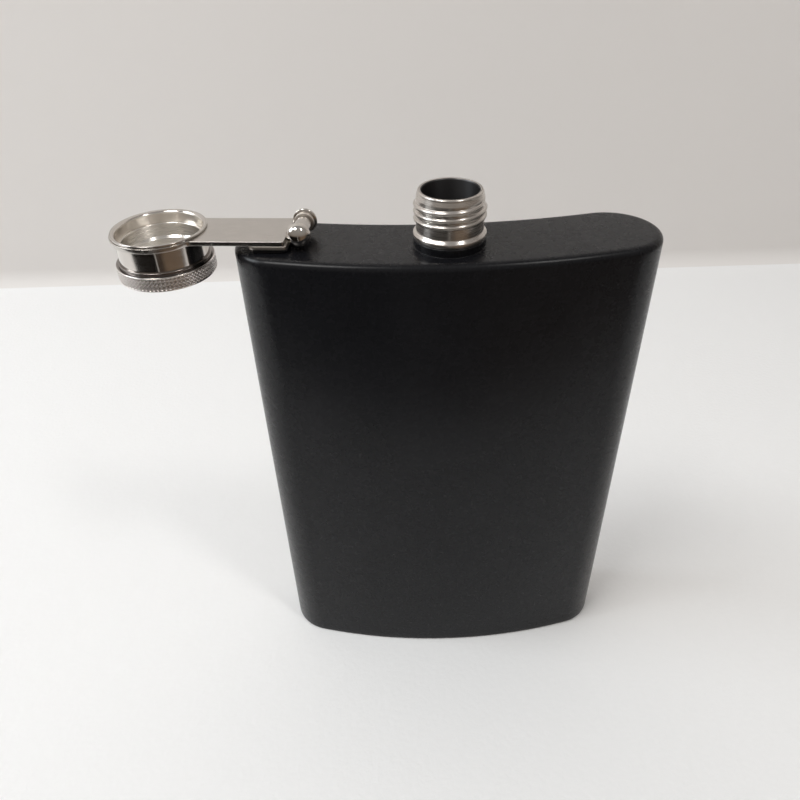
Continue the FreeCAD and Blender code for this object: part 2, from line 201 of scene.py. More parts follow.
def arc(centre, radius, start, end, count):
    """Points along an arc in degrees, its end left out."""
    return [Vector((centre[0] + radius * math.cos(math.radians(start + (end - start) * k / count)),
                    centre[1] + radius * math.sin(math.radians(start + (end - start) * k / count))))
            for k in range(count)]


def offset(points, distance):
    """A closed outline moved to its left by a distance."""
    moved = []
    for index, here in enumerate(points):
        before = (here - points[index - 1]).normalized()
        after = (points[(index + 1) % len(points)] - here).normalized()
        along = (before + after).normalized()
        left = Vector((-along.y, along.x))
        moved.append(here + left * distance / max(0.5, along.dot(before)))
    return moved


FRONT_TURN = math.degrees(math.atan2(SIDE_X, FACE_R - DEPTH / 2 - SIDE_Y))
BACK_TURN = math.degrees(math.atan2(SIDE_X, FACE_R + DEPTH / 2 - SIDE_Y))
FACE_STEPS = 72
FRONT_SIDE_STEPS = 28
BACK_SIDE_STEPS = 34


def front_half(inset):
    """The plan's front, from its left side's widest point to its right side's, end left out."""
    side = SIDE_R - inset
    return (arc((-SIDE_X, SIDE_Y), side, 180, 270 - FRONT_TURN, FRONT_SIDE_STEPS)
            + arc((0, FACE_R - DEPTH / 2), FACE_R - inset,
                  -90 - FRONT_TURN, -90 + FRONT_TURN, FACE_STEPS)
            + arc((SIDE_X, SIDE_Y), side, -90 + FRONT_TURN, 0, FRONT_SIDE_STEPS))


def back_half(inset):
    """The plan's back, from its right side's widest point to its left side's, end left out."""
    side = SIDE_R - inset
    return (arc((SIDE_X, SIDE_Y), side, 0, 90 + BACK_TURN, BACK_SIDE_STEPS)
            + arc((0, FACE_R + DEPTH / 2), FACE_R + inset,
                  -90 + BACK_TURN, -90 - BACK_TURN, FACE_STEPS)
            + arc((-SIDE_X, SIDE_Y), side, 90 - BACK_TURN, 180, BACK_SIDE_STEPS))


def kidney(inset, z):
    return [Vector((p.x, p.y, z)) for p in front_half(inset) + back_half(inset)]


# ---------------------------------------------------------------- mesh helpers

def add_ring(bm, points):
    return [bm.verts.new(point) for point in points]


def bridge(bm, one, other, closed=True):
    """Faces between two rings of equal length, or between a ring and a pole of one point."""
    count = max(len(one), len(other))
    for k in range(count if closed else count - 1):
        after = (k + 1) % count
        corners = [one[k % len(one)], one[after % len(one)],
                   other[after % len(other)], other[k % len(other)]]
        bm.faces.new(list(dict.fromkeys(corners)))


def skin(bm, rings, loop=False):
    """Faces through a list of rings in turn, and back to the first where loop is true."""
    made = [add_ring(bm, ring) for ring in rings]
    for one, other in zip(made, made[1:]):
        bridge(bm, one, other)
    if loop:
        bridge(bm, made[-1], made[0])
    return made


def fill(bm, rings):
    """A flat face set between an outer ring and any rings inside it."""
    edges = []
    for ring in rings:
        for k, vert in enumerate(ring):
            other = ring[(k + 1) % len(ring)]
            edges.append(bm.edges.get((vert, other)) or bm.edges.new((vert, other)))
    bmesh.ops.triangle_fill(bm, use_beauty=True, edges=edges)


def plate(bm, loops, low, high, edge, place):
    """A flat plate with rounded rims. The outer loop runs anticlockwise, holes clockwise."""
    turns = [math.radians(angle) for angle in (0, 30, 60, 90)]
    levels = [(edge + 0.08, low)]
    levels += [(edge * (1 - math.sin(t)), low + edge * (1 - math.cos(t))) for t in turns]
    levels += [(edge * (1 - math.sin(t)), high - edge * (1 - math.cos(t))) for t in turns[::-1]]
    levels += [(edge + 0.08, high)]
    ends = []
    for loop in loops:
        rings = [[place(p.x, p.y, z) for p in offset(loop, inset)] for inset, z in levels]
        made = skin(bm, rings)
        ends.append((made[0], made[-1]))
    fill(bm, [end[0] for end in ends])
    fill(bm, [end[1] for end in ends])


def lathe(bm, outline, count, place=None, shift=None):
    """Turn a closed (radius, height) outline about an axis; shift may move each point."""
    rings = []
    for point in outline:
        ring = []
        for k in range(1 if point.x < 1e-6 else count):
            angle = math.tau * k / count
            radius = point.x + (shift(angle, point) if shift else 0.0)
            spot = Vector((radius * math.cos(angle), radius * math.sin(angle), point.y))
            ring.append(place(spot) if place else spot)
        rings.append(ring)
    skin(bm, rings, loop=outline[0].x > 1e-6)


def refine(outline, low, high, step):
    """Extra points on an outline's straight runs between two heights."""
    points = []
    for here, after in zip(outline, outline[1:] + outline[:1]):
        points.append(here)
        inside = min(here.y, after.y) > low - 1e-6 and max(here.y, after.y) < high + 1e-6
        parts = math.ceil(abs(after.y - here.y) / step) if inside else 1
        points += [here.lerp(after, part / parts) for part in range(1, parts)]
    return points


def make_mesh(name, bm, sharp=32.0):
    bmesh.ops.recalc_face_normals(bm, faces=bm.faces)
    bmesh.ops.scale(bm, vec=(MM, MM, MM), verts=bm.verts)
    mesh = bpy.data.meshes.new(name)
    bm.to_mesh(mesh)
    bm.free()
    mesh.shade_smooth()
    mesh.set_sharp_from_angle(angle=math.radians(sharp))
    item = bpy.data.objects.new(name, mesh)
    bpy.context.scene.collection.objects.link(item)
    return item


def union(item, other, sharp=32.0):
    """Join a second closed mesh into the first one."""
    join = item.modifiers.new("join", "BOOLEAN")
    join.operation = "UNION"
    join.solver = "EXACT"
    join.object = other
    graph = bpy.context.evaluated_depsgraph_get()
    mesh = bpy.data.meshes.new_from_object(item.evaluated_get(graph))
    item.modifiers.clear()
    item.data = mesh
    bpy.data.objects.remove(other)
    mesh.shade_smooth()
    mesh.set_sharp_from_angle(angle=math.radians(sharp))
    return item


def install(item, body, node, material, origin=None):
    """Give a piece its material and its body, and let it stand for its CAD node."""
    if origin is not None:
        item.location = origin * MM
    item.data.materials.clear()
    item.data.materials.append(material)
    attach(item, body)
    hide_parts(node)
    return item


# ---------------------------------------------------------------- materials

class Nodes:
    """Short calls for building one node tree."""

    def __init__(self, tree):
        self.tree = tree

    def add(self, kind, inputs=(), **settings):
        node = self.tree.nodes.new(kind)
        for key, value in settings.items():
            setattr(node, key, value)
        for key, value in dict(inputs).items():
            if isinstance(value, bpy.types.NodeSocket):
                self.tree.links.new(value, node.inputs[key])
            else:
                node.inputs[key].default_value = value
        return node

    def noise(self, vector, scale, detail=2.0, roughness=0.5):
        return self.add("ShaderNodeTexNoise", {
            "Vector": vector, "Scale": scale, "Detail": detail,
            "Roughness": roughness}).outputs["Fac"]

    def spread(self, value, low, high, out_low, out_high):
        return self.add("ShaderNodeMapRange", {
            "Value": value, "From Min": low, "From Max": high,
            "To Min": out_low, "To Max": out_high}).outputs["Result"]

    def ramp(self, value, *stops):
        node = self.add("ShaderNodeValToRGB", {"Fac": value})
        ramp = node.color_ramp
        while len(ramp.elements) < len(stops):
            ramp.elements.new(0.5)
        for element, (position, colour) in zip(ramp.elements, stops):
            element.position = position
            element.color = (*colour, 1.0)
        return node.outputs["Color"]

    def bump(self, height, distance, strength=1.0, normal=None):
        inputs = {"Height": height, "Distance": distance, "Strength": strength}
        if normal is not None:
            inputs["Normal"] = normal
        return self.add("ShaderNodeBump", inputs).outputs["Normal"]

    def mix(self, factor, one, other):
        """A colour between two, which are sockets or plain (r, g, b, 1) values."""
        node = self.add("ShaderNodeMix", data_type="RGBA")
        for socket, value in zip((node.inputs[0], node.inputs[6], node.inputs[7]),
                                 (factor, one, other)):
            if isinstance(value, bpy.types.NodeSocket):
                self.tree.links.new(value, socket)
            else:
                socket.default_value = value
        return node.outputs[2]

    def scaled(self, vector, scale):
        return self.add("ShaderNodeMapping", {"Vector": vector, "Scale": scale}).outputs["Vector"]


def new_material(name):
    material = bpy.data.materials.new(name)
    material.use_nodes = True
    nodes = Nodes(material.node_tree)
    shader = material.node_tree.nodes["Principled BSDF"]
    place = nodes.add("ShaderNodeTexCoord").outputs["Object"]
    return material, nodes, shader, place


def connect(nodes, shader, **sockets):
    for name, source in sockets.items():
        nodes.tree.links.new(source, shader.inputs[name.replace("_", " ")])


def black_coat():
    """Satin black coat: faint orange peel, fine grain and slightly uneven gloss."""
    material, nodes, shader, place = new_material("satin_black_coat")
    cloud = nodes.noise(place, 60, 4.0)
    peel = nodes.noise(place, 900, 2.0)
    grain = nodes.noise(place, 5200, 2.0)
    colour = nodes.ramp(cloud, (0.3, (0.0058, 0.0059, 0.0072)), (0.7, (0.0077, 0.0078, 0.0094)))
    rough = nodes.spread(nodes.noise(place, 500, 5.0, 0.6), 0.3, 0.7, 0.25, 0.295)
    normal = nodes.bump(grain, 1.6e-6, normal=nodes.bump(peel, 2.5e-6))
    connect(nodes, shader, Base_Color=colour, Roughness=rough, Normal=normal)
    shader.inputs["Specular IOR Level"].default_value = 0.2
    return material


def from_axis(nodes, place):
    """Distance of each place from its piece's Z axis, in metres."""
    flat = nodes.add("ShaderNodeVectorMath", {0: place, 1: (1.0, 1.0, 0.0)}, operation="MULTIPLY")
    away = nodes.add("ShaderNodeVectorMath", {0: flat.outputs[0]}, operation="LENGTH")
    return away.outputs["Value"]


def turned_marks(nodes, shader, amount):
    """Fine marks round the Z axis, which draw a reflection out across them."""
    around = nodes.add("ShaderNodeTangent", direction_type="RADIAL", axis="Z").outputs["Tangent"]
    connect(nodes, shader, Tangent=around)
    shader.inputs["Anisotropic"].default_value = amount
    shader.inputs["Anisotropic Rotation"].default_value = 0.25


def steel(name, stretch, tone=(0.66, 0.62, 0.58), gloss=(0.07, 0.15), depth=1.2e-6, turned=0.0,
          inside=None):
    """Steel with fine polishing lines, drawn out along the axis that stretch gives least.

    turned is how far marks round the Z axis draw its reflections out. inside is a (radius, tone,
    roughness) for a bore whose look isn't the outside's: its own finish, and in the neck's bore a
    dark tone that is also painted shade.
    """
    material, nodes, shader, place = new_material(name)
    lines = nodes.noise(nodes.scaled(place, stretch), 1.0, 3.0, 0.6)
    cloud = nodes.noise(place, 320, 3.0)
    dark = tuple(0.9 * value for value in tone)
    colour = nodes.ramp(cloud, (0.25, dark), (0.75, tone))
    rough = nodes.spread(lines, 0.3, 0.7, *gloss)
    if inside:
        radius, inner_tone, inner_rough = inside
        out = nodes.spread(from_axis(nodes, place), (radius - 0.05) * MM, (radius + 0.05) * MM,
                           0.0, 1.0)
        colour = nodes.mix(out, (*inner_tone, 1.0), colour)
        rough = nodes.add("ShaderNodeMix", {0: out, 2: inner_rough, 3: rough}).outputs[0]
    normal = nodes.bump(lines, depth, normal=nodes.bump(cloud, 1e-6))
    connect(nodes, shader, Base_Color=colour, Roughness=rough, Normal=normal)
    if turned:
        turned_marks(nodes, shader, turned)
    shader.inputs["Metallic"].default_value = 1.0
    return material


def neck_steel():
    # the bore's dark tone is painted shade down the mouth, on top of its rougher unpolished finish
    return steel("turned_neck_steel", (60, 60, 9000), gloss=(0.25, 0.31), depth=1.5e-7,
                 turned=0.7, inside=(BORE_R + 0.2, (0.10, 0.098, 0.10), 0.45))


def arm_steel():
    return steel("brushed_arm_steel", (160, 5200, 900), (0.60, 0.565, 0.53), (0.18, 0.28))


def leaf_steel():
    return steel("stamped_leaf_steel", (300, 300, 300), (0.64, 0.59, 0.54), (0.38, 0.46))


def pin_steel():
    return steel("polished_pin_steel", (900, 900, 900), gloss=(0.05, 0.1))


def skirt_steel():
    return steel("spun_skirt_steel", (70, 70, 8000), gloss=(0.10, 0.16), depth=3e-7, turned=0.8,
                 inside=(SKIRT_BORE_R + 0.15, (0.84, 0.79, 0.73), 0.30))


def liner_steel():
    return steel("turned_liner_steel", (50, 50, 9000), (0.84, 0.80, 0.75), (0.24, 0.32),
                 depth=4e-7, turned=0.85)


def knurled_steel():
    """Steel darkened towards the knurl groove bottoms, and on everything nearer the axis, as
    painted shade; depth is read as distance from the axis.
    """
    material, nodes, shader, place = new_material("knurled_steel")
    depth = nodes.spread(from_axis(nodes, place), (HEAD_R - KNURL_DEPTH) * MM, HEAD_R * MM,
                         0.0, 1.0)
    # painted shade: dark at the groove bottoms and on all surfaces below the knurl tops, light on
    # the tops
    colour = nodes.ramp(depth, (0.0, (0.26, 0.235, 0.22)), (0.65, (0.86, 0.81, 0.78)))
    grain = nodes.noise(place, 4200, 3.0)
    rough = nodes.spread(grain, 0.3, 0.7, 0.18, 0.26)
    connect(nodes, shader, Base_Color=colour, Roughness=rough, Normal=nodes.bump(grain, 3e-6))
    shader.inputs["Metallic"].default_value = 1.0
    return material


def seal_rubber():
    """Pale silicone: soft gloss with a fine moulded grain."""
    material, nodes, shader, place = new_material("pale_silicone")
    cloud = nodes.noise(place, 500, 3.0)
    colour = nodes.ramp(cloud, (0.3, (0.44, 0.43, 0.41)), (0.7, (0.52, 0.51, 0.49)))
    rough = nodes.spread(cloud, 0.3, 0.7, 0.35, 0.5)
    grain = nodes.noise(place, 6000, 2.0)
    connect(nodes, shader, Base_Color=colour, Roughness=rough, Normal=nodes.bump(grain, 2e-6))
    return material


# ---------------------------------------------------------------- flask body

def fillet_levels(radius, top, count=6, up=True):
    """(inset, z) down a rounded plan edge, from the flat to the wall."""
    sign = 1 if up else -1
    turns = [math.pi / 2 * k / count for k in range(count + 1)]
    return [(radius * (1 - math.sin(t)), top - sign * radius * (1 - math.cos(t))) for t in turns]


def make_base(material):
    """A shallow pan: rounded foot, slightly hollow underneath, open above."""
    levels = [(BASE_RECESS_INSET + 0.9, BASE_RECESS), (BASE_RECESS_INSET + 0.6, BASE_RECESS),
              (BASE_RECESS_INSET, 0.0), (BASE_EDGE + 0.3, 0.0)]
    levels += fillet_levels(BASE_EDGE, 0.0, up=False)
    levels += [(0.0, BASE_RIM_Z), (WALL, BASE_RIM_Z), (WALL, 2 * WALL),
               (2 * WALL, WALL + BASE_RECESS)]
    bm = bmesh.new()
    rings = skin(bm, [kidney(inset, z) for inset, z in levels])
    fill(bm, [rings[0]])
    fill(bm, [rings[-1]])
    return install(make_mesh("base_pan", bm), "flask", "base_plate", material)


def make_shell(name, node, half, other_half, material):
    """Half of the drawn tube, a true wall thick, closed all round."""
    rows = 24
    outside = half(0.0) + other_half(0.0)[:1]
    inside = half(WALL) + other_half(WALL)[:1]
    loop = outside + inside[::-1]
    bm = bmesh.new()
    heights = [BASE_RIM_Z + (SHELL_TOP - BASE_RIM_Z) * k / rows for k in range(rows + 1)]
    rings = skin(bm, [[Vector((p.x, p.y, z)) for p in loop] for z in heights])
    count = len(outside)
    for ring in (rings[0], rings[-1]):
        bridge(bm, ring[:count], ring[count:][::-1], closed=False)
    return install(make_mesh(name, bm), "flask", node, material)


def hinge_place(x, y, z):
    """A point given from the pin: x away from the neck, y along the pin, z up."""
    return PIN + OUTWARD * x + PIN_AXIS * y + Vector((0, 0, z))


def rectangle(left, right, low, high, radius):
    return rounded([(left, low, radius), (right, low, radius),
                    (right, high, radius), (left, high, radius)])


def make_shoulder(material):
    """Pressed top with a rounded rim, the neck's collar and the seat under the hinge."""
    bm = bmesh.new()
    top = [(SHOULDER_EDGE + 0.5, SHOULDER_Z)] + fillet_levels(SHOULDER_EDGE, SHOULDER_Z, 8)
    under = [(WALL, SHELL_TOP), (WALL, SHOULDER_Z - WALL - SHOULDER_BEND),
             (WALL + SHOULDER_BEND, SHOULDER_Z - WALL)]
    walls = skin(bm, [kidney(inset, z) for inset, z in top + [(0.0, SHELL_TOP)] + under])
    outline = rounded([
        (COLLAR_R + 0.9, SHOULDER_Z, 0), (COLLAR_R, SHOULDER_Z, 0.12),
        (COLLAR_R, COLLAR_TOP, 0.25), (SPIGOT_R, COLLAR_TOP, 0.05),
        (SPIGOT_R, SHOULDER_Z - WALL, 0)], closed=False)
    collar = skin(bm, [[Vector((around.x, around.y, p.y)) for around in circle(p.x, count=144)]
                       for p in outline])
    seat_loop = rectangle(ARM_ROOT, LEAF_LENGTH - SEAT_MARGIN, SEAT_MARGIN - LEAF_WIDTH / 2,
                          LEAF_WIDTH / 2 - SEAT_MARGIN, 1.2)
    height = SHOULDER_Z - PIN.z
    seat_levels = [(-0.4, 0.0), (-0.2, 0.0), (-0.1, 0.03), (-0.03, 0.1), (0.0, 0.2),
                   (0.0, SEAT_HEIGHT - 0.2), (0.06, SEAT_HEIGHT - 0.06), (0.2, SEAT_HEIGHT),
                   (0.3, SEAT_HEIGHT)]
    seat = skin(bm, [[hinge_place(p.x, p.y, height + rise) for p in offset(seat_loop, inset)]
                     for inset, rise in seat_levels])
    fill(bm, [walls[0], collar[0], seat[0]])
    fill(bm, [seat[-1]])
    fill(bm, [walls[-1], collar[-1]])
    return install(make_mesh("shoulder_pressing", bm), "flask", "shoulder_plate",
                   material)


def smooth(value):
    value = min(1.0, max(0.0, value))
    return value * value * (3 - 2 * value)


def ridge_height(angle, height, first, last, start_z, half_width, peak, fade):
    """How far a right-hand thread stands out at one place; first and last are in degrees."""
    best = 0.0
    degrees = math.degrees(angle)
    turn = math.ceil((first - degrees) / 360)
    while degrees + 360 * turn <= last:
        along = degrees + 360 * turn
        away = abs(height - start_z - THREAD_PITCH * along / 360) / half_width
        if away < 1:
            ends = smooth((along - first) / fade) * smooth((last - along) / fade)
            best = max(best, peak * (1 - away ** 2.2) * ends)
        turn += 1
    return best


def make_neck(material):
    """Turned neck: bead on the collar, plain barrel, three thread turns and a thin lip."""
    bead_top = COLLAR_TOP + BEAD_HEIGHT
    barrel_top = NECK_TOP - LIP_HEIGHT
    outline = rounded([
        (BORE_R, NECK_FOOT, 0.1), (SPIGOT_R, NECK_FOOT, 0.1), (SPIGOT_R, COLLAR_TOP, 0),
        (BEAD_R - 0.2, COLLAR_TOP, 0.1), (BEAD_R, COLLAR_TOP + 0.5, 0.4),
        (BEAD_R, COLLAR_TOP + 1.0, 0.4), (BARREL_R, bead_top - 0.5, 0.4),
        (BARREL_R, barrel_top, 0.6), (LIP_R, NECK_TOP - 0.5, 0.4), (LIP_R, NECK_TOP, 0.4),
        (BORE_R, NECK_TOP, 0.4)], step=11)
    outline = refine(outline, bead_top - 0.5, barrel_top, 0.06)
    start_z = SHOULDER_Z + THREAD_START

    def thread(angle, point):
        if point.x < LIP_R + 0.1 or point.y < bead_top + 0.3 or point.y > barrel_top - 0.02:
            return 0.0
        return ridge_height(angle, point.y, 0.0, 360 * THREAD_TURNS, start_z,
                            THREAD_HALF_WIDTH, THREAD_HEIGHT, THREAD_FADE)

    bm = bmesh.new()
    lathe(bm, outline, 180, shift=thread)
    return install(make_mesh("threaded_neck", bm, 40), "flask", "neck", material)


# ---------------------------------------------------------------- hinge

def upright_place(sign):
    """Places an ear's outline: x away from the neck, y up from the pin, z out along the pin."""
    return lambda x, y, z: hinge_place(x, sign * z, y)


def make_bracket(material):
    """Leaf on the seat with an ear bent up at each side, notched for the arm's curl."""
    leaf_low = SHOULDER_Z + SEAT_HEIGHT - PIN.z
    leaf_high = leaf_low + LEAF_THICKNESS
    half = LEAF_WIDTH / 2
    finger_in, finger_out = EAR_INSIDE, EAR_INSIDE + EAR_THICKNESS
    outline = rounded([
        (LEAF_NOTCH, finger_in, 0.3), (LEAF_TIP, finger_in, 0.2), (LEAF_TIP, finger_out, 0.3),
        (LEAF_NOTCH, finger_out, 0.3), (LEAF_NOTCH, half, 0.6), (LEAF_LENGTH, half, 1.6),
        (LEAF_LENGTH, -half, 1.6), (LEAF_NOTCH, -half, 0.6), (LEAF_NOTCH, -finger_out, 0.3),
        (LEAF_TIP, -finger_out, 0.3), (LEAF_TIP, -finger_in, 0.2),
        (LEAF_NOTCH, -finger_in, 0.3)])
    bm = bmesh.new()
    plate(bm, [outline[::-1]], leaf_low, leaf_high, 0.12, hinge_place)
    leaf = make_mesh("hinge_leaf", bm)
    for sign in (-1, 1):
        bm = bmesh.new()
        foot = arc((0, 0), EAR_R, -28, 262, 60)
        foot += [Vector((-0.3, leaf_low + 0.02)), Vector((2.0, leaf_low + 0.02))]
        plate(bm, [foot, circle(PIN_R + 0.02, count=40, clockwise=True)],
              finger_in, finger_out, 0.14, upright_place(sign))
        union(leaf, make_mesh("ear", bm))
    return install(leaf, "flask", "hinge_bracket", material)


def pin_place(sign):
    """Turned pieces on the pin: their Z runs out along it from an ear's outer face."""
    turn = Vector((0, 0, 1)).rotation_difference(PIN_AXIS * sign).to_matrix()
    reach = EAR_INSIDE + EAR_THICKNESS
    return lambda spot: PIN + PIN_AXIS * (sign * reach) + turn @ spot


def ball_head():
    """A pin head's outline, from its crown down to the ear it is drawn against."""
    crown = PIN_HEAD_HEIGHT - PIN_HEAD_WAIST
    points = []
    for k in range(25):
        turn = math.pi / 2 * k / 24
        points.append(Vector((PIN_HEAD_R * math.sin(turn),
                              PIN_HEAD_WAIST + crown * math.cos(turn))))
    for k in range(1, 9):
        turn = PIN_HEAD_TUCK * k / 8
        points.append(Vector((PIN_HEAD_R * math.cos(turn),
                              PIN_HEAD_WAIST * (1 - math.sin(turn) / math.sin(PIN_HEAD_TUCK)))))
    return points


def make_pin(material):
    length = 2 * EAR_INSIDE + 2 * EAR_THICKNESS + PIN_SOCKET
    outline = ball_head() + [Vector((PIN_R, 0.0)), Vector((PIN_R, 0.1 - length)),
                        Vector((PIN_R - 0.1, -length)), Vector((0.0, -length))]
    bm = bmesh.new()
    lathe(bm, outline, 72, pin_place(-1))
    return install(make_mesh("pin_and_head", bm), "flask", "hinge_pin", material)


def make_pin_cap(material):
    outline = ball_head() + [Vector((PIN_R + 0.01, 0.0)), Vector((PIN_R + 0.01, PIN_SOCKET)),
                             Vector((0.0, PIN_SOCKET))]
    bm = bmesh.new()
    lathe(bm, outline, 72, pin_place(1))
    return install(make_mesh("rear_pin_head", bm), "flask", "hinge_pin_cap",
                   material)


def arm_outline():
    """Strip and ring in one outline, with a small radius where they meet."""
    half = ARM_WIDTH / 2
    blend = RING_BLEND
    gap = math.sqrt((RING_R + blend) ** 2 - (half + blend) ** 2)
    join = CAP_REACH - gap
    lean = math.degrees(math.atan2(half + blend, gap))
    points = rounded([(ARM_ROOT + 5, half, 0), (ARM_ROOT, half, 0.35), (ARM_ROOT, -half, 0.35),
                      (join, -half, 0)], False)[1:-1]
    points += arc((join, -half - blend), blend, 90, lean, 8)
    points += arc((CAP_REACH, 0), RING_R, lean - 180, 180 - lean, 110)
    points += arc((join, half + blend), blend, -lean, -90, 8)
    points += [Vector((join, half))]
    return points


def make_arm(material):
    """Strip with a ring for the cap and a curl round the pin."""
    bm = bmesh.new()
    hole = circle(RING_HOLE_R, (CAP_REACH, 0), 120, clockwise=True)
    plate(bm, [arm_outline(), hole], ARM_LOW, ARM_HIGH, 0.09, hinge_place)
    arm = make_mesh("swing_arm", bm)
    low = math.degrees(math.asin(ARM_LOW / CURL_R))
    high = math.degrees(math.asin(ARM_HIGH / CURL_R))
    curl = arc((0, 0), CURL_R, high, 360 + low, 64)
    curl += [Vector((CURL_R * math.cos(math.radians(low)), ARM_LOW + 0.01)),
             Vector((ARM_ROOT + 0.7, ARM_LOW + 0.01)), Vector((ARM_ROOT + 0.7, ARM_HIGH - 0.01))]
    bm = bmesh.new()
    reach = EAR_INSIDE - 0.05
    plate(bm, [curl, circle(PIN_R + 0.05, count=40, clockwise=True)], -reach, reach, 0.12,
          upright_place(1))
    return install(union(arm, make_mesh("curl", bm)), "arm", "cap_arm", material)


# ---------------------------------------------------------------- screw cap

def make_skirt(material):
    """Spun skirt with a turned-out rim, open towards the neck's side."""
    outline = rounded([
        (SKIRT_BORE_R, CAP_CEILING, 0.05), (SKIRT_R, CAP_CEILING, 0.05),
        (SKIRT_R, CAP_TOP - RIM_HEIGHT, 0.08), (RIM_R, CAP_TOP - RIM_HEIGHT, 0.1),
        (RIM_R, CAP_TOP, 0.16), (SKIRT_BORE_R, CAP_TOP, 0.8)])
    bm = bmesh.new()
    lathe(bm, outline, 180)
    return install(make_mesh("spun_skirt", bm), "cap", "cap_skirt", material,
                   CAP_ORIGIN)


def knurl(angle, point):
    """Depth of two crossing sets of V grooves round the head's band."""
    low, high = HEAD_BAND_LOW + KNURL_MARGIN, HEAD_BAND_HIGH - KNURL_MARGIN
    if point.x < HEAD_R - 0.01 or not low < point.y < high:
        return 0.0
    pitch = math.tau * HEAD_R / KNURL_LINES
    round_way = angle * KNURL_LINES / math.tau
    up_way = (point.y - HEAD_BAND_LOW) / pitch
    groove = 1.0
    for phase in (round_way + up_way, round_way - up_way):
        groove = min(groove, KNURL_FLANK * abs(phase - round(phase)))
    edge = min(point.y - HEAD_BAND_LOW - KNURL_MARGIN, high - point.y) / KNURL_RUN_OUT
    return -KNURL_DEPTH * (1 - groove) * smooth(edge)


def make_head(material):
    """Turned head: collar, groove, knurled band, bevel and a barely crowned top; its material
    paints shade on all but the knurl's tops.
    """
    band_low, band_high = HEAD_BAND_LOW, HEAD_BAND_HIGH
    groove_top = band_high + HEAD_STEP
    collar_top = groove_top + HEAD_STEP
    outline = [Vector((0.0, CAP_BOTTOM))] + rounded([
        (0.01, CAP_BOTTOM, 0), (HEAD_FACE_R, CAP_BOTTOM + 0.1, 0.5), (HEAD_R, band_low, 0.2),
        (HEAD_R, band_high, 0.15), (HEAD_GROOVE_R, band_high, 0.05),
        (HEAD_GROOVE_R, groove_top, 0.05), (HEAD_COLLAR_R, groove_top, 0.08),
        (HEAD_COLLAR_R, collar_top, 0.12), (SKIRT_R + 0.01, collar_top, 0),
        (SKIRT_R + 0.01, CAP_CEILING, 0), (0.01, CAP_CEILING, 0)],
        closed=False)[1:-1] + [Vector((0.0, CAP_CEILING))]
    outline = refine(outline[:-1], band_low, band_high, 0.1) + outline[-1:]
    bm = bmesh.new()
    lathe(bm, outline, KNURL_LINES * KNURL_STEPS, shift=knurl)
    return install(make_mesh("knurled_cap_head", bm, 24), "cap", "knurled_head",
                   material, CAP_ORIGIN)


def make_insert(material):
    """Threaded liner: a ledge, a plain entry and a ridge that winds 1.3 turns."""
    outer = SKIRT_BORE_R - 0.02
    root_z = LEDGE_Z - ROOT_DROP
    outline = rounded([
        (ROOT_R, CAP_CEILING + 0.02, 0), (outer, CAP_CEILING + 0.02, 0), (outer, LEDGE_Z, 0),
        (ENTRY_R, LEDGE_Z, 0.2), (ENTRY_R, root_z + ENTRY_R - ROOT_R, 0.1),
        (ROOT_R, root_z, 0.1)], step=11)
    outline = refine(outline, CAP_CEILING, root_z, 0.08)
    start_z = SHOULDER_Z - RIDGE_DROP - THREAD_PITCH * RIDGE_LAST / 360

    def ridge(angle, point):
        if point.x > ROOT_R + 0.01:
            return 0.0
        return -ridge_height(angle, point.y, RIDGE_FIRST, RIDGE_LAST, start_z,
                             RIDGE_HALF_WIDTH, RIDGE_HEIGHT, RIDGE_FADE)

    bm = bmesh.new()
    lathe(bm, outline, 160, shift=ridge)
    return install(make_mesh("threaded_liner", bm, 40), "cap", "thread_insert",
                   material, CAP_ORIGIN)


def make_seal(material):
    """Soft disc against the cap's ceiling, with a pressed ring where it meets the neck."""
    low, high = box_mm("seal_disc")[0].z, box_mm("seal_disc")[1].z
    middle, pressed = high - SEAL_SINK, high - 0.06
    outline = [Vector((0.0, middle))] + rounded([
        (0.02, middle, 0), (SEAL_RING_INNER - 0.3, middle, 0.3),
        (SEAL_RING_INNER, high - 0.02, 0.2), (SEAL_RING_INNER + 0.3, pressed, 0.2),
        (SEAL_RING_OUTER - 0.3, pressed, 0.2), (SEAL_RING_OUTER, high, 0.2),
        (SEAL_R, high, 0.14), (SEAL_R, low, 0.12), (0.02, low, 0)],
        closed=False)[1:-1] + [Vector((0.0, low))]
    bm = bmesh.new()
    lathe(bm, outline, 120)
    return install(make_mesh("seal_liner", bm), "seal", "seal_disc", material, CAP_ORIGIN)


# ---------------------------------------------------------------- stage

def stage_material(name, colour, grain_scale, depth):
    material, nodes, shader, place = new_material(name)
    grain = nodes.noise(place, grain_scale, 3.0)
    shader.inputs["Base Color"].default_value = (*colour, 1.0)
    shader.inputs["Roughness"].default_value = 0.75
    shader.inputs["Specular IOR Level"].default_value = 0.2
    connect(nodes, shader, Normal=nodes.bump(grain, depth))
    return material


# the stage's sizes are in metres
WALL_Y = 0.242
WALL_TOP = 1.4
COVE_R = 0.01
FLOOR_FRONT_Y = -0.12
STAGE_REACH = 2.5
FLOOR_TONE, WALL_TONE = (0.86, 0.86, 0.86), (0.79, 0.763, 0.742)


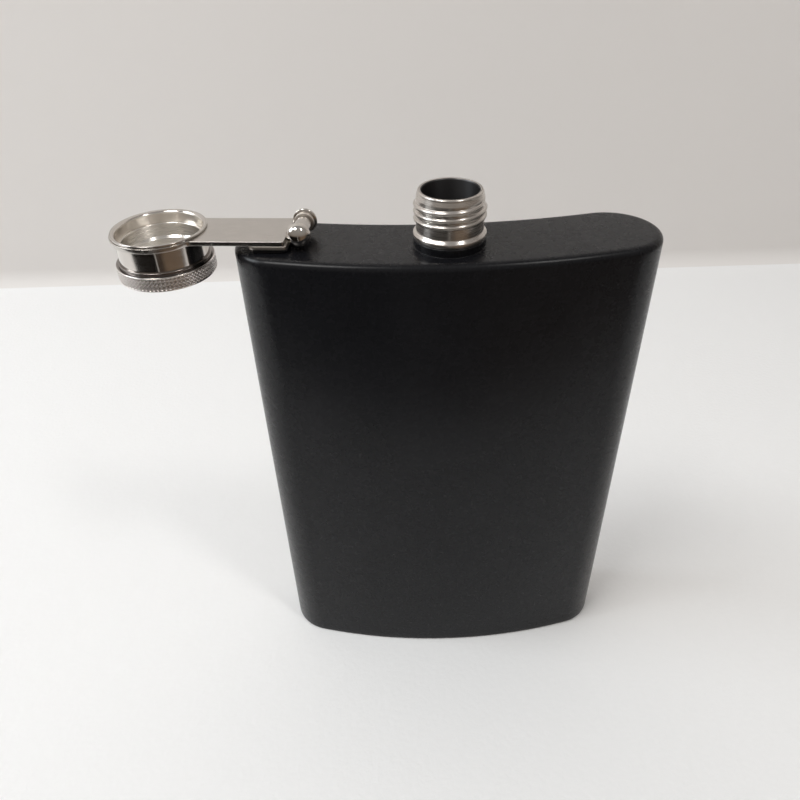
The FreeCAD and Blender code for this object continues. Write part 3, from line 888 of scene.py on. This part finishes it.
def make_stage():
    """Pale floor and a tall plain wall, met by a small cove; the far front isn't mirrored."""
    floor_look = stage_material("pale_floor", FLOOR_TONE, 650, 1.2e-4)
    wall_look = stage_material("pale_wall", WALL_TONE, 900, 1e-5)
    reach = STAGE_REACH
    turns = [math.pi / 2 * k / 12 for k in range(13)]
    cove = [(WALL_Y - COVE_R + COVE_R * math.sin(t), COVE_R * (1 - math.cos(t))) for t in turns]
    strips = [
        ("floor", [(FLOOR_FRONT_Y, 0.0), cove[0]], floor_look, True),
        ("front_floor", [(-STAGE_REACH, 0.0), (FLOOR_FRONT_Y, 0.0)], floor_look, False),
        ("cove_low", cove[:5], floor_look, True),
        ("cove_high", cove[4:], wall_look, True),
        ("wall", [cove[-1], (WALL_Y, WALL_TOP)], wall_look, True),
    ]
    for name, line, look, mirrored in strips:
        verts = [Vector((x, y, z)) for y, z in line for x in (-reach, reach)]
        faces = [(2 * k, 2 * k + 1, 2 * k + 3, 2 * k + 2) for k in range(len(line) - 1)]
        mesh = bpy.data.meshes.new(name)
        mesh.from_pydata(verts, [], faces)
        mesh.shade_smooth()
        mesh.materials.append(look)
        item = bpy.data.objects.new(name, mesh)
        item.visible_glossy = mirrored
        bpy.context.scene.collection.objects.link(item)


def area_light(name, azimuth, elevation, distance, size, power, colour):
    """A soft rectangular light aimed at the flask's shoulder; azimuth 0 is in front."""
    turn, rise = math.radians(azimuth), math.radians(elevation)
    away = Vector((math.sin(turn) * math.cos(rise), -math.cos(turn) * math.cos(rise),
                   math.sin(rise)))
    light = bpy.data.lights.new(name, "AREA")
    light.shape = "RECTANGLE"
    light.size, light.size_y = size
    light.energy = power
    light.color = colour
    item = bpy.data.objects.new(name, light)
    item.location = Vector((0, 0, SHOULDER_Z * MM)) + away * distance
    item.rotation_mode = "QUATERNION"
    item.rotation_quaternion = (-away).to_track_quat("-Z", "Y")
    item.visible_camera = False
    bpy.context.scene.collection.objects.link(item)


PALE, DARK, LAMP = (0.30, 0.29, 0.27), (0.008, 0.007, 0.006), (0.85, 0.83, 0.80)
WOOD, SHADE = (0.16, 0.115, 0.08), (0.055, 0.041, 0.031)

# what reflections show low down round the room: degrees from straight in front, and tone
LOW_ROOM = [(-180, PALE), (-80, PALE), (-72, DARK), (-7, DARK), (-6.4, LAMP), (-5.6, LAMP),
            (-5, SHADE), (6, SHADE), (18, WOOD), (56, WOOD), (65, SHADE), (100, SHADE),
            (120, PALE), (180, PALE)]
LOW_END, HIGH_START = -0.12, 0.05
# above that: share of the way up the whole sphere, and tone
HIGH_ROOM = [(0.50, (0.22, 0.187, 0.16)), (0.62, (0.305, 0.281, 0.256)),
             (1.0, (0.385, 0.38, 0.375))]
BACKDROP = (0.60, 0.585, 0.57)


def make_world():
    """A plain room: light above, and darker furnishings of several tones below and in front."""
    world = bpy.data.worlds.new("room")
    bpy.context.scene.world = world
    world.use_nodes = True
    nodes = Nodes(world.node_tree)
    background = world.node_tree.nodes["Background"]
    place = nodes.add("ShaderNodeTexCoord").outputs["Generated"]
    parts = nodes.add("ShaderNodeSeparateXYZ", {"Vector": place}).outputs
    front = nodes.add("ShaderNodeMath", {0: parts["Y"], 1: -1.0}, operation="MULTIPLY")
    turn = nodes.add("ShaderNodeMath", {0: parts["X"], 1: front.outputs[0]},
                     operation="ARCTAN2").outputs[0]
    share = nodes.spread(turn, -math.pi, math.pi, 0.0, 1.0)
    low = nodes.ramp(share, *[(0.5 + degrees / 360, tone) for degrees, tone in LOW_ROOM])
    high = nodes.ramp(nodes.spread(parts["Z"], -1.0, 1.0, 0.0, 1.0), *HIGH_ROOM)
    rise = nodes.spread(parts["Z"], LOW_END, HIGH_START, 0.0, 1.0)
    seen = nodes.add("ShaderNodeLightPath").outputs["Is Camera Ray"]
    room = nodes.mix(seen, nodes.mix(rise, low, high), (*BACKDROP, 1.0))
    nodes.tree.links.new(room, background.inputs["Color"])
    background.inputs["Strength"].default_value = 1.0


# the viewpoint fitted to the photograph: place in millimetres, angles in degrees
CAMERA_PLACE = Vector((-11.22, -139.71, 192.13))
CAMERA_PITCH, CAMERA_ROLL, CAMERA_YAW = 37.06, 1.911, 0.269
CAMERA_LENS = 30.99


def make_camera():
    """The photograph's viewpoint: above and in front, rolled slightly."""
    pitch, roll, yaw = (math.radians(v) for v in (CAMERA_PITCH, CAMERA_ROLL, CAMERA_YAW))
    ahead = Vector((0, math.cos(pitch), -math.sin(pitch)))
    right = Vector((1, 0, 0))
    down = ahead.cross(right)
    side = right * math.cos(roll) + down * math.sin(roll)
    drop = down * math.cos(roll) - right * math.sin(roll)
    axes = Matrix((side, -drop, -ahead)).transposed().to_4x4()
    camera = bpy.data.objects.new("camera", bpy.data.cameras.new("camera"))
    camera.data.lens = CAMERA_LENS
    camera.data.clip_start = 0.01
    camera.matrix_world = (Matrix.Translation(CAMERA_PLACE * MM)
                           @ Matrix.Rotation(yaw, 4, "Z") @ axes)
    bpy.context.scene.collection.objects.link(camera)
    bpy.context.scene.camera = camera


def make_lights():
    """A large window at the left, with a panel and a narrow strip above in front."""
    area_light("left_window", -92, 34, 1.6, (0.85, 0.7), 14.8, (0.90, 0.955, 1.0))
    area_light("left_panel", -56, 60, 0.85, (0.32, 0.24), 2.7, (1.0, 0.99, 0.97))
    area_light("right_strip", 48, 58, 0.85, (0.09, 0.22), 1.1, (1.0, 0.98, 0.95))


def main():
    coat = black_coat()
    make_base(coat)
    make_shell("front_skin", "front_shell", front_half, back_half, coat)
    make_shell("back_skin", "back_shell", back_half, front_half, coat)
    make_shoulder(coat)
    make_neck(neck_steel())
    make_bracket(leaf_steel())
    polished = pin_steel()
    make_pin(polished)
    make_pin_cap(polished)
    make_arm(arm_steel())
    make_skirt(skirt_steel())
    make_head(knurled_steel())
    make_insert(liner_steel())
    make_seal(seal_rubber())
    make_stage()
    make_lights()
    make_world()
    make_camera()
    bpy.context.scene.view_settings.view_transform = "Standard"


main()
